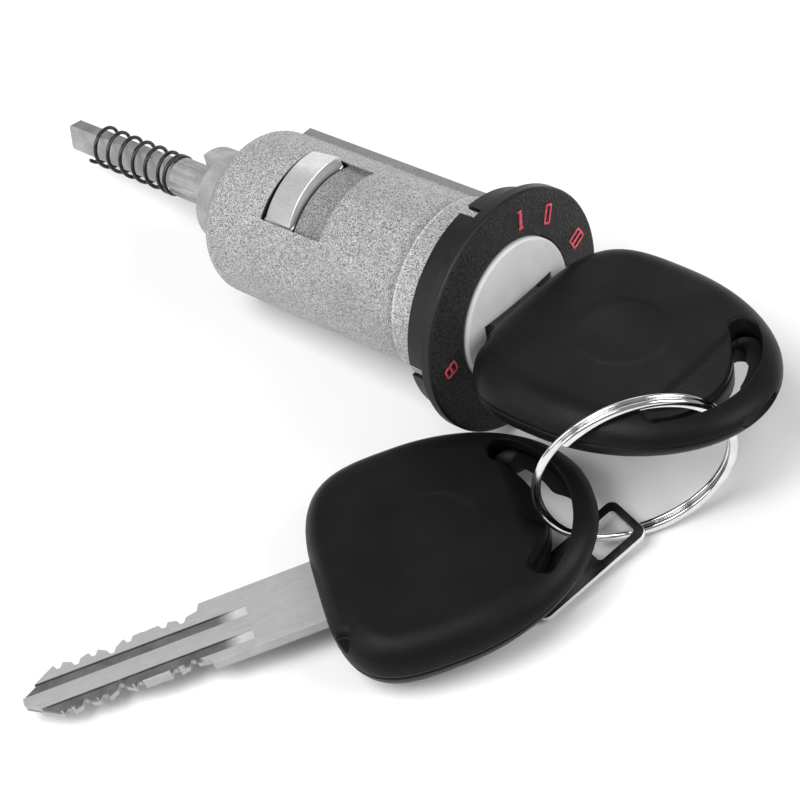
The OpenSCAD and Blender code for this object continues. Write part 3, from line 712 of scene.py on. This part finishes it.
plug_metal = worked_steel("plug_metal", 0.5, 0.8, 0.34, (0.3, 3, 3))
bright = worked_steel("bright_steel", 0.74, 0.65, 0.28, (0.3, 4, 4), dirt=0.25)
brass, keys, red = wafer_brass(), key_plastic(), mark_red()
eased("housing", "lock_body", zinc_cast(), "zinc", 0.12)
eased("bezel", "lock_body", black_plastic(), "black_plastic", 0.12)
eased("face_disc", "plug_body", satin_grey(), "satin_grey", 0.1)
eased("tail_driver", "plug_body", tail_zinc(), "zinc", 0.12)
piece(pawl_mesh(), "pawl_body", bright, "bright_steel", "pawl")
inner_finishes = {"plug": plug_metal, "plug_retainer": bright, "wafer_springs": bright}
inner_finishes |= {f"wafer_{i}": brass for i in range(1, 9)}
for node, finish in inner_finishes.items():
    frame["nodes"][node].data.materials.clear()
    frame["nodes"][node].data.materials.append(finish)

for key, place, turn in (("key_one", KEY_ONE, (KEY_ANGLE, 0, 0)), ("key_two", KEY_TWO, SPARE_TURN)):
    eased(key + "_blade", key, key_nickel(key + "_nickel", place, turn), "bright_steel", 0.1, 2, 8)
    piece(head_shell(key + "_upper_skin", place, True), key, keys, "key_plastic", key + "_upper_shell")
    piece(head_shell(key + "_lower_skin", place, False), key, keys, "key_plastic", key + "_lower_shell")

piece(split_ring_mesh(), "ring_body", chromed_wire(), "chromed_wire", "split_ring")
tail_coil = coil_mesh("tail_coil", COIL_PLACE, *TAIL_COIL)
piece(tail_coil, "plug_body", dark_spring(), "dark_spring", "tail_spring")
pawl_coil = coil_mesh("pawl_coil", PAWL_COIL_PLACE, *PAWL_COIL)
pawl_coil = piece(pawl_coil, "lock_body", bright, "bright_steel", "pawl_spring")
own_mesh(pawl_coil)
piece(tag_mesh(), "tag_body", dark_sheet(), "dark_sheet", "tag")


def box_path(half_w, half_h):
    """Corners of an upright box, in order round it."""
    return [(-half_w, -half_h), (half_w, -half_h), (half_w, half_h), (-half_w, half_h)]


def loop_path(half_w, half_h, lift):
    """A squarish loop, |x|^4 + |y|^4 = 1, lifted by its place in the mark."""
    t = np.linspace(0, 2 * math.pi, 48, endpoint=False)
    reach = box_reach(t, half_w, half_h, 4.0)
    return np.stack([reach * np.cos(t), lift + reach * np.sin(t)], -1)


# Each mark: its place round the face and from the axis, its lean, its path, and whether that closes
marks = [("mark_one", 62, 15.4, 8, box_path(0.14, 1.45), True),
         ("mark_one_foot", 62, 15.4, 8, [(-0.5, -1.5), (0.5, -1.5)], False),
         ("mark_one_cap", 62, 15.4, 8, [(-0.6, 1.4), (0.2, 1.5)], False),
         ("mark_two", 37, 15.8, 20, box_path(0.56, 1.5), True),
         ("mark_three", 0.3, 16.35, 13, box_path(1.08, 1.28), True),
         ("mark_three_middle", 0.3, 16.35, 13, [(0, -1.28), (0, 1.28)], False),
         ("mark_rest_low", 169.5, 15.7, 14, loop_path(0.92, 0.6, -0.58), True),
         ("mark_rest_high", 169.5, 15.7, 14, loop_path(0.84, 0.6, 0.58), True)]
for name, angle, radius, tilt, path, closed in marks:
    piece(mark_mesh(name, angle, radius, tilt, path, closed), "lock_body", red, "black_plastic")


# Floor, light and camera

def floor_mesh():
    """A flat square on the plane that the lock rests on."""
    mesh = bpy.data.meshes.new("floor")
    turn = FLOOR_NORMAL.to_track_quat("Z", "Y").to_matrix()
    corners = [turn @ Vector((x, y, FLOOR_DROP)) * MM for x, y in box_path(FLOOR_HALF, FLOOR_HALF)]
    mesh.from_pydata(corners, [], [(0, 1, 2, 3)])
    return mesh


def floor_paint():
    """Plain pale paint with a trace of unevenness."""
    f = Finish("floor_paint")
    tone = f.noise(f.place(), 0.01, 2.0)
    return f.surface(Base_Color=f.mix(tone, grey(0.75), grey(0.78)), Roughness=0.9, Specular_IOR_Level=0.0)


floor = bpy.data.objects.new("floor", floor_mesh())
floor.data.materials.append(floor_paint())
bpy.context.scene.collection.objects.link(floor)


def soft_light(name, spot, aim, size, power):
    """A square soft light at spot, facing aim, in millimetres and watts."""
    lamp = bpy.data.lights.new(name, "AREA")
    lamp.shape, lamp.size, lamp.energy = "SQUARE", size * MM, power
    made = bpy.data.objects.new(name, lamp)
    made.location = Vector(spot) * MM
    made.rotation_euler = (Vector(aim) - Vector(spot)).to_track_quat("-Z", "Y").to_euler()
    bpy.context.scene.collection.objects.link(made)


AIM = (-10, -25, 0)
soft_light("top_light", (-10, -520, 1300), AIM, 850, 20)
soft_light("left_light", (-590, -1160, 740), AIM, 720, 6)
soft_light("right_light", (1090, 560, 680), AIM, 720, 13)
soft_light("back_light", (-860, 950, 630), AIM, 950, 2.6)

world = bpy.data.worlds.new("studio")
world.use_nodes = True
world.node_tree.nodes["Background"].inputs["Color"].default_value = (1, 1, 1, 1)
world.node_tree.nodes["Background"].inputs["Strength"].default_value = 0.3
bpy.context.scene.world = world

# The camera stands where the photograph was taken from. The three directions are those of its picture.
CAMERA_SPOT = Vector((218.15, -162.32, 279.19)) * MM
RIGHT, DOWN = Vector((0.7443, 0.6012, -0.2909)), Vector((0.3315, -0.7106, -0.6206))
AHEAD = Vector((-0.5798, 0.3655, -0.7282))
lens = bpy.data.cameras.new("camera")
lens.lens, lens.sensor_width, lens.clip_start = 112.86, 36.0, 0.01
camera = bpy.data.objects.new("camera", lens)
camera.matrix_world = Matrix.Translation(CAMERA_SPOT) @ Matrix((RIGHT, -DOWN, -AHEAD)).transposed().to_4x4()
bpy.context.scene.collection.objects.link(camera)
bpy.context.scene.camera = camera
bpy.context.scene.view_settings.view_transform = "Standard"
